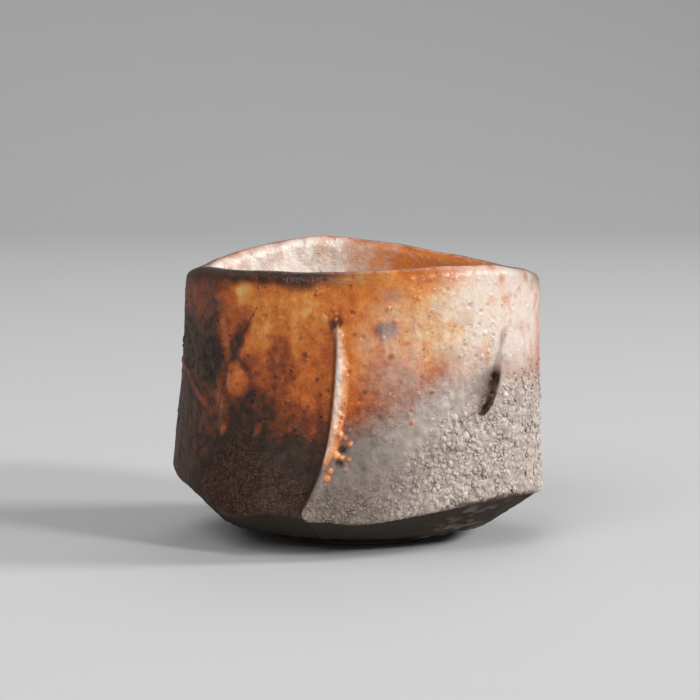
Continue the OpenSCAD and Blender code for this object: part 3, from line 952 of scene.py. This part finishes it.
class GUINOMI_OT_glaze_beads(bpy.types.Operator):
    """Scatters the beads into which the glaze crawled on the lower wall"""

    bl_idname = "guinomi.glaze_beads"
    bl_label = "Glaze beads"

    lots = (
        Lot("glaze_beads", 11, 0.36, 0.9, 3000, 8, 6, -180, 180, 0),
        Lot("fine_beads", 12, 0.2, 0.45, 5600, 6, 4, -75, 100, 0.75),
        Lot("back_beads", 13, 0.2, 0.45, 5600, 6, 4, 100, 285, 0.75),
    )

    def execute(self, context):
        for lot in self.lots:
            self.sow(context, Form(context), lot)
        return {"FINISHED"}

    def sow(self, context, form, lot):
        """Makes one piece of beads of like size."""
        rng = np.random.default_rng(lot.seed)
        azimuth, level, size = self.scatter(rng, form, lot)
        centre, out, side, up = self.seat(form, azimuth, level)
        template = self.dome(lot)
        shape = np.zeros(len(template.vertices) * 3, np.float32)
        template.vertices.foreach_get("co", shape)
        shape = shape.reshape(1, -1, 3)
        count = len(size)
        wide = rng.uniform(0.75, 1.3, (count, 1, 1))
        tall = rng.uniform(0.75, 1.35, (count, 1, 1))
        proud = rng.uniform(0.5, 0.95, (count, 1, 1))
        shape = shape * (1 + rng.uniform(-0.2, 0.2, (count, shape.shape[1], 1)))
        turned = (
            shape[..., :1] * side[:, None] * wide
            + shape[..., 1:2] * up[:, None] * tall
            + shape[..., 2:] * out[:, None] * proud
        )
        sunk = out * (0.15 * size * proud[:, 0, 0])[:, None]
        bm = bmesh.new()
        for _ in range(count):
            bm.from_mesh(template)
        mesh = bpy.data.meshes.new(lot.name)
        fill(mesh, bm)
        bpy.data.meshes.remove(template)
        move(mesh, (centre - sunk)[:, None] + turned * size[:, None, None])
        masks = Glaze(form, azimuth, centre).shares()
        paint(mesh, "glaze_map", np.repeat(masks[:, None], shape.shape[1], axis=1))
        # Each bead is paler towards its top, partly its glaze and partly painted light, and darker
        # and rustier towards its foot, partly rust and partly painted shade; the shares vary at
        # random from bead to bead.
        tips = np.clip(0.5 + 0.5 * shape[..., 2], 0, 1)
        tips = tips * mix(0.2, 1, rng.random((count, 1)) ** 1.4)
        pale, worn = pale_share(form, azimuth, level), worn_share(azimuth)
        paint(mesh, "bead_map", stacked(tips, 1, pale[:, None], worn[:, None]))
        mesh.update()
        put(lot.name, mesh, cup_glaze(context), "amber_glaze")

    def dome(self, lot):
        """A low bell-shaped dome with a closed base, made once and repeated."""
        bm = bmesh.new()
        bmesh.ops.create_uvsphere(bm, u_segments=lot.segments, v_segments=lot.rings, radius=1)
        bmesh.ops.bisect_plane(
            bm, geom=bm.verts[:] + bm.edges[:] + bm.faces[:], plane_co=(0, 0, -0.1),
            plane_no=(0, 0, 1), clear_inner=True,
        )
        bmesh.ops.holes_fill(bm, edges=bm.edges, sides=0)
        for v in bm.verts:
            rise = max(0, v.co.z)
            v.co.xy *= 1 + 0.2 * (1 - rise) ** 2
            v.co.z -= 0.15 * math.sin(math.pi * rise)
        bmesh.ops.recalc_face_normals(bm, faces=bm.faces)
        template = bpy.data.meshes.new("bead")
        bm.to_mesh(template)
        bm.free()
        return template

    def scatter(self, rng, form, lot):
        """Places for the beads, none much over another."""
        s = form.s
        azimuth = rng.uniform(lot.first, lot.last, s.bead_tries)
        level = rng.uniform(0.0, 0.75, s.bead_tries)
        height = form.height(azimuth, level)
        growth = round_trip(BEAD_GROWTH, azimuth)
        thick = 0.12
        if lot.least_growth:
            thick = mix(0.55, 0.17, smooth((growth - 0.35) / 0.4))
            growth = np.maximum(growth, lot.least_growth)
        usual = mix(lot.low, lot.high, 0.25)
        size = s.bead_size * growth * rng.triangular(lot.low, usual, lot.high, s.bead_tries)
        share = bead_share(azimuth, height)
        stands = rng.random(s.bead_tries) < share**1.3 * thick
        stands &= height - form.edge_height(azimuth) > BEAD_CLEARANCE * MM
        for i in range(len(LINES)):
            near = np.abs(form.beside(i, azimuth, level)) < BEAD_CLEARANCE + size / MM
            stands &= ~(near & (form.line_strength(i, level) > 0.05))
        size = size * mix(0.6, 1, share)
        spot = form.place(azimuth, form.blank_radius(azimuth, level), height, level)
        kept = []
        for i in np.flatnonzero(stands):
            room = np.linalg.norm(spot[kept] - spot[i], axis=1) - 0.8 * (size[kept] + size[i])
            if (room >= 0).all():
                kept.append(i)
            if len(kept) >= lot.most:
                break
        return azimuth[kept], level[kept], size[kept]

    def seat(self, form, azimuth, level):
        """Points on the wall with their outward, sideways and upward directions."""
        def at(a, v):
            points = form.on_wall(a, v, form.s.shrink)
            return form.on_wall(a, v, form.s.shrink - swell(points))

        centre = at(azimuth, level)
        side = at(azimuth + 0.6, level) - at(azimuth - 0.6, level)
        up = at(azimuth, level + 0.012) - at(azimuth, level - 0.012)
        side /= np.linalg.norm(side, axis=1, keepdims=True)
        out = np.cross(side, up)
        out /= np.linalg.norm(out, axis=1, keepdims=True)
        return centre, out, side, np.cross(out, side)


class Value:
    """What one node gives, which can be reckoned with like a number."""

    def __init__(self, node, output=0):
        self.tree, self.node, self.socket = node.id_data, node, node.outputs[output]

    def maths(self, operation, other, turned=False):
        """This with another value, or the other value with this."""
        inputs = {int(turned): self, int(not turned): other}
        return Value(wire(self.tree, "ShaderNodeMath", inputs, operation=operation))

    def __add__(self, other):
        return self.maths("ADD", other)

    def __sub__(self, other):
        return self.maths("SUBTRACT", other)

    def __rsub__(self, other):
        return self.maths("SUBTRACT", other, turned=True)

    def __mul__(self, other):
        return self.maths("MULTIPLY", other)

    def clamped(self):
        """The same sum, held between 0 and 1."""
        self.node.use_clamp = True
        return self

    def span(self, low, high, to_low=0, to_high=1):
        """Carries one span of values over to another, and holds it there."""
        inputs = {0: self, 1: low, 2: high, 3: to_low, 4: to_high}
        return Value(wire(self.tree, "ShaderNodeMapRange", inputs))

    def blend(self, a, b):
        """A colour between two, where this is the second one's share."""
        return Value(wire(self.tree, "ShaderNodeMix", {0: self, 6: a, 7: b}, data_type="RGBA"), 2)

    def times(self, colour):
        """A colour times this."""
        inputs = {0: 1, 6: colour, 7: self}
        settings = {"data_type": "RGBA", "blend_type": "MULTIPLY"}
        return Value(wire(self.tree, "ShaderNodeMix", inputs, **settings), 2)

    def ramp(self, *stops):
        """A colour, or a level of grey, for each of some values."""
        made = wire(self.tree, "ShaderNodeValToRGB", {0: self})
        elements = made.color_ramp.elements
        elements.remove(elements[1])
        for i, (at, colour) in enumerate(stops):
            element = elements[0] if i == 0 else elements.new(at)
            element.position = at
            element.color = rgba(colour if isinstance(colour, Color) else (colour,) * 3)
        return Value(made)


def rgba(colour):
    return (*colour, 1)


def wire(tree, kind, inputs, **settings):
    """Adds a node, sets its properties, and sets or links its inputs by name or number."""
    made = tree.nodes.new(kind)
    for key, value in settings.items():
        setattr(made, key, value)
    for key, value in inputs.items():
        if isinstance(value, Value):
            tree.links.new(value.socket, made.inputs[key])
        else:
            made.inputs[key].default_value = rgba(value) if isinstance(value, Color) else value
    return made


def noise_at(tree, size, detail=3, roughness=0.55):
    """Soft noise whose lumps are about so many mm across."""
    place = Value(wire(tree, "ShaderNodeTexCoord", {}), "Object")
    inputs = {"Vector": place, "Scale": 1 / (size * MM), "Detail": detail, "Roughness": roughness}
    return Value(wire(tree, "ShaderNodeTexNoise", inputs), "Fac")


def cells(tree, size, feature="F1"):
    """Distance from the middle of cells that are about so many mm across."""
    place = Value(wire(tree, "ShaderNodeTexCoord", {}), "Object")
    inputs = {"Vector": place, "Scale": 1 / (size * MM)}
    return Value(wire(tree, "ShaderNodeTexVoronoi", inputs, feature=feature), "Distance")


def painted(tree, name):
    """The four shares that a mesh's vertices carry."""
    colour = wire(tree, "ShaderNodeAttribute", {}, attribute_name=name)
    parts = wire(tree, "ShaderNodeSeparateColor", {0: Value(colour, "Color")})
    return Value(parts, 0), Value(parts, 1), Value(parts, 2), Value(colour, "Alpha")


def new_material(name, specular):
    """A material with only its output and one Principled shader, and that shader's inputs."""
    material = bpy.data.materials.new(name)
    material.use_nodes = True
    nodes = material.node_tree.nodes
    nodes.clear()
    output = nodes.new("ShaderNodeOutputMaterial")
    shader = nodes.new("ShaderNodeBsdfPrincipled")
    material.node_tree.links.new(shader.outputs["BSDF"], output.inputs["Surface"])
    shader.inputs["Specular IOR Level"].default_value = specular
    return material, material.node_tree, shader.inputs


def cup_glaze(context):
    """Glossy iron glaze: black to straw, milky, grey and beaded, or pale in the well."""
    name = "cup_glaze"
    if name in bpy.data.materials:
        return bpy.data.materials[name]
    c = context.scene.guinomi_colours
    material, tree, shader = new_material(name, 0.36)
    tone, grey, milky, dark = painted(tree, "glaze_map")
    tip, beaded, ashen, worn = painted(tree, "bead_map")
    well, flush, deep, _ = painted(tree, "well_map")
    mottle = noise_at(tree, 1.7, 6, 0.62) - 0.5
    fleck = noise_at(tree, 0.4, 4, 0.6) - 0.5
    cloud = noise_at(tree, 4.5, 4)
    pinhole = cells(tree, 2.3)

    # The glaze where it ran, with dark pinholes and spots, and milky where it is thick; the milky
    # share also carries painted light and highlights.
    spots = cells(tree, 1.9).span(0.1, 0.26, 0.24, 0) * cloud.span(0.45, 0.6)
    tone = tone + mottle * 0.55 + fleck * 0.3 - pinhole.span(0.05, 0.12, 1, 0) * 0.25
    tone = (tone - spots).clamped()
    colour = tone.ramp(
        (0, c.black), (0.2, c.brown), (0.42, c.rust),
        (0.62, c.orange), (0.82, c.amber), (1, c.straw),
    )
    pale = (mottle * 1.6 + milky).clamped().blend(c.salmon, c.cream)
    colour = (milky * cloud.span(0.22, 0.5) * 0.85).blend(colour, pale)

    # The dry glaze lower down: darker and rusty between its beads, partly rust and partly painted
    # shade, and paler on their tips, partly paler glaze and partly painted light.
    edge = (grey + (mottle + fleck) * 0.5).span(0.2, 0.85)
    shade = noise_at(tree, 1.8).span(0.3, 0.7, 0.75, 1.25)
    dry = shade.times(ashen.blend(c.grey, c.ash))
    dry = ((1 - tip) * beaded * 0.24).blend(dry, c.rust * 0.45)
    pale_lit_tips = (tip * 0.8 + fleck * 0.6).clamped()
    dry = pale_lit_tips.blend(dry, ashen.blend(c.salmon * 0.17, c.bead))
    colour = (edge * 0.92).blend(colour, dry)
    # The dark share takes this colour: burnt glaze on the rim and lower edge, and painted shade in
    # the cuts, beside the front ridge and in the pits and craters.
    burnt = noise_at(tree, 1.1, 5, 0.65).blend(c.black, c.brown * 1.7)
    colour = (dark + dark * mottle * 0.8).clamped().blend(colour, burnt)

    # The well's own glaze: veined and pale, flushed orange on one side, darker where it is deep.
    warm = (mottle * 1.5 + 0.5).clamped().blend(c.orange, c.amber)
    cool = cloud.span(0.45, 0.75, 0, 0.6).blend(c.milk, c.salmon)
    vein = noise_at(tree, 7, 3, 0.6) - 0.52
    cool = vein.maths("ABSOLUTE", 0).span(0, 0.08, 0.32, 0).blend(cool, c.rust)
    lining = (flush + mottle * 0.7).clamped().blend(cool, warm)
    lining = (deep * 0.45).blend(lining, mottle.blend(c.rust, c.salmon))
    tree.links.new(well.blend(colour, lining).socket, shader["Base Color"])

    # Duller where it is dry, charred or worn, and glossy on the tips of the dark beads.
    rough = edge * ashen.span(0, 1, 0.45, 0.1) + 0.13 + mottle * 0.2
    charred = tone.span(0.1, 0.34, 0.5, 0)
    glint = tip * beaded * (1 - ashen)
    dull = charred.maths("MAXIMUM", worn * 0.42) * (1 - well.maths("MAXIMUM", glint))
    rough = (rough + dull - glint * 0.42).clamped()
    tree.links.new(rough.socket, shader["Roughness"])

    # Grain, pimples between the beads, dimples, and the rims of pinholes and pricks.
    pimple = (0.7 - cells(tree, 0.5, "SMOOTH_F1")) * beaded
    dimple = noise_at(tree, 1.15, 2, 0.5) - 0.5
    rim = pinhole.ramp((0, 0), (0.06, 0.1), (0.12, 1), (0.2, 0.6))
    prick = cells(tree, 1.2).ramp((0, 0), (0.14, 0.9), (0.2, 1), (0.34, 0.7))
    ran = (1 - edge) * cloud.span(0.42, 0.55)
    relief = fleck * 0.8 + pimple * 1.3 + dimple * 1.8 + rim * 1.8 + prick * (ran * 1.2)
    bump(tree, shader, relief, 0.7, 0.17)
    return material


def bump(tree, shader, relief, strength, distance):
    """Roughens a shader by a relief of so many mm."""
    inputs = {"Strength": strength, "Distance": distance * MM, "Height": relief}
    tree.links.new(wire(tree, "ShaderNodeBump", inputs).outputs[0], shader["Normal"])


def bare_clay(context, name, roughness):
    """Dry stoneware with sand in it, and flakes of ash where it is chipped."""
    c = context.scene.guinomi_colours
    clay = getattr(c, name)
    material, tree, shader = new_material("bare_" + name, 0.2)
    sand = noise_at(tree, 0.6, 6, 0.7)
    colour = sand.blend(clay * 0.45, clay * 1.9)
    colour = (noise_at(tree, 3, 4) * 0.5).blend(colour, clay * 0.45)
    chip = Value(wire(tree, "ShaderNodeAttribute", {}, attribute_name="clay_map"), "Fac")
    colour = ((chip * (sand + 0.1)).clamped() * 0.35).blend(colour, c.ash)
    tree.links.new(colour.socket, shader["Base Color"])
    shader["Roughness"].default_value = roughness
    bump(tree, shader, sand, 0.8, 0.2)
    return material


class GUINOMI_OT_stage(bpy.types.Operator):
    """Sets the floor, the studio lights and the camera"""

    bl_idname = "guinomi.stage"
    bl_label = "Stage"

    # The floor runs level from its front to its bend, then up a quarter circle and on up the
    # backdrop, in metres. The shares are those of its rows where it bends and stands upright.
    front, bend, sweep, top = -1.2, 0.9, 0.5, 2.5
    bend_share, upright_share = 0.4, 0.8
    # Half its width under the cup and behind it, and the shares of its rows between which it
    # narrows.
    near_half_width, far_half_width = 3, 0.6
    narrow_from, narrow_to = 0.3, 0.4

    # Name, azimuth and elevation in degrees, distance and size in metres, power in watts and
    # spread in degrees.
    lamps = (
        ("key", 93, 27, 2.2, 0.54, 4.3, 70),
        ("window", 55, 28, 2.2, 0.4, 3.1, 70),
        ("fill", -26, 40, 1.2, 0.7, 4.9, 180),
        ("side", -110, 45, 1.6, 0.9, 1.6, 180),
        ("back", 170, 48, 1.2, 0.7, 2.2, 180),
    )
    lamp_aim = Vector((0, 0, 0.025))
    sky_colour, sky_strength = (0.95, 0.97, 1, 1), 0.24

    # The camera's lens in mm, its distance from what it looks at, and how far it looks down.
    lens, reach, pitch = 131.2, 0.45, math.radians(6)
    view_aim = Vector((-0.001235, 0, 0.03234))

    def execute(self, context):
        self.floor(context)
        self.lights(context)
        self.camera(context)
        return {"FINISHED"}

    def floor(self, context):
        """A floor that sweeps up into a backdrop."""
        bm = bmesh.new()
        bmesh.ops.create_grid(bm, x_segments=1, y_segments=60, size=1)
        for v in bm.verts:
            share = (v.co.y + 1) / 2
            narrow = smooth((share - self.narrow_from) / (self.narrow_to - self.narrow_from))
            x = v.co.x * mix(self.near_half_width, self.far_half_width, narrow)
            up = (share - self.bend_share) / (self.upright_share - self.bend_share)
            turn = min(max(up, 0), 1) * math.pi / 2
            y = self.bend + self.sweep * math.sin(turn)
            z = self.sweep * (1 - math.cos(turn))
            if up < 0:
                y = mix(self.front, self.bend, share / self.bend_share)
            if up > 1:
                over = (share - self.upright_share) / (1 - self.upright_share)
                z = mix(self.sweep, self.top, over)
            v.co = (x, y, z)
        mesh = bpy.data.meshes.new("floor")
        fill(mesh, bm)
        material, _, shader = new_material("floor", 0.1)
        shader["Base Color"].default_value = rgba(context.scene.guinomi_colours.floor)
        shader["Roughness"].default_value = 0.9
        mesh.materials.append(material)
        floor = bpy.data.objects.new("floor", mesh)
        context.scene.collection.objects.link(floor)

    def lights(self, context):
        """A plain pale sky and square soft lights that look at the cup."""
        world = bpy.data.worlds.new("studio")
        world.use_nodes = True
        background = world.node_tree.nodes["Background"]
        background.inputs["Color"].default_value = self.sky_colour
        background.inputs["Strength"].default_value = self.sky_strength
        context.scene.world = world
        for name, azimuth, elevation, distance, size, power, spread in self.lamps:
            light = bpy.data.lights.new(name, "AREA")
            light.shape, light.size, light.energy = "SQUARE", size, power
            light.spread = math.radians(spread)
            turn, rise = math.radians(azimuth), math.radians(elevation)
            flat = math.cos(rise)
            way = Vector((math.sin(turn) * flat, -math.cos(turn) * flat, math.sin(rise)))
            lamp = bpy.data.objects.new(name, light)
            lamp.location = self.lamp_aim + way * distance
            lamp.rotation_euler = way.to_track_quat("Z", "Y").to_euler()
            context.scene.collection.objects.link(lamp)

    def camera(self, context):
        """The photograph's view, from a little above the lip."""
        camera = bpy.data.cameras.new("camera")
        camera.sensor_width, camera.lens, camera.clip_start = 36, self.lens, 0.01
        view = bpy.data.objects.new("camera", camera)
        way = Vector((0, -math.cos(self.pitch), math.sin(self.pitch)))
        view.location = self.view_aim + way * self.reach
        view.rotation_euler = (math.pi / 2 - self.pitch, 0, 0)
        context.scene.collection.objects.link(view)
        context.scene.camera = view
        context.scene.view_settings.view_transform = "Standard"


OPERATORS = (
    GUINOMI_OT_glazed_wall,
    GUINOMI_OT_glaze_beads,
    GUINOMI_OT_rolled_lip,
    GUINOMI_OT_well_lining,
    GUINOMI_OT_clay_body,
    GUINOMI_OT_foot,
    GUINOMI_OT_stage,
)


class GUINOMI_PT_panel(bpy.types.Panel):
    bl_idname = "GUINOMI_PT_panel"
    bl_label = "Guinomi"
    bl_space_type = "VIEW_3D"
    bl_region_type = "UI"
    bl_category = "Guinomi"

    def draw(self, context):
        for operator in OPERATORS:
            self.layout.operator(operator.bl_idname)
        for group in (context.scene.guinomi_sizes, context.scene.guinomi_colours):
            column = self.layout.column()
            for name in group.bl_rna.properties.keys():
                if name not in ("rna_type", "name"):
                    column.prop(group, name)


CLASSES = (CupSizes, CupColours, *OPERATORS, GUINOMI_PT_panel)


def register():
    for item in CLASSES:
        bpy.utils.register_class(item)
    bpy.types.Scene.guinomi_sizes = PointerProperty(type=CupSizes)
    bpy.types.Scene.guinomi_colours = PointerProperty(type=CupColours)


def unregister():
    del bpy.types.Scene.guinomi_colours
    del bpy.types.Scene.guinomi_sizes
    for item in reversed(CLASSES):
        bpy.utils.unregister_class(item)


def main():
    register()
    bpy.ops.guinomi.glazed_wall()
    bpy.ops.guinomi.glaze_beads()
    bpy.ops.guinomi.rolled_lip()
    bpy.ops.guinomi.well_lining()
    bpy.ops.guinomi.clay_body()
    bpy.ops.guinomi.foot()
    bpy.ops.guinomi.stage()


if __name__ == "__main__":
    main()
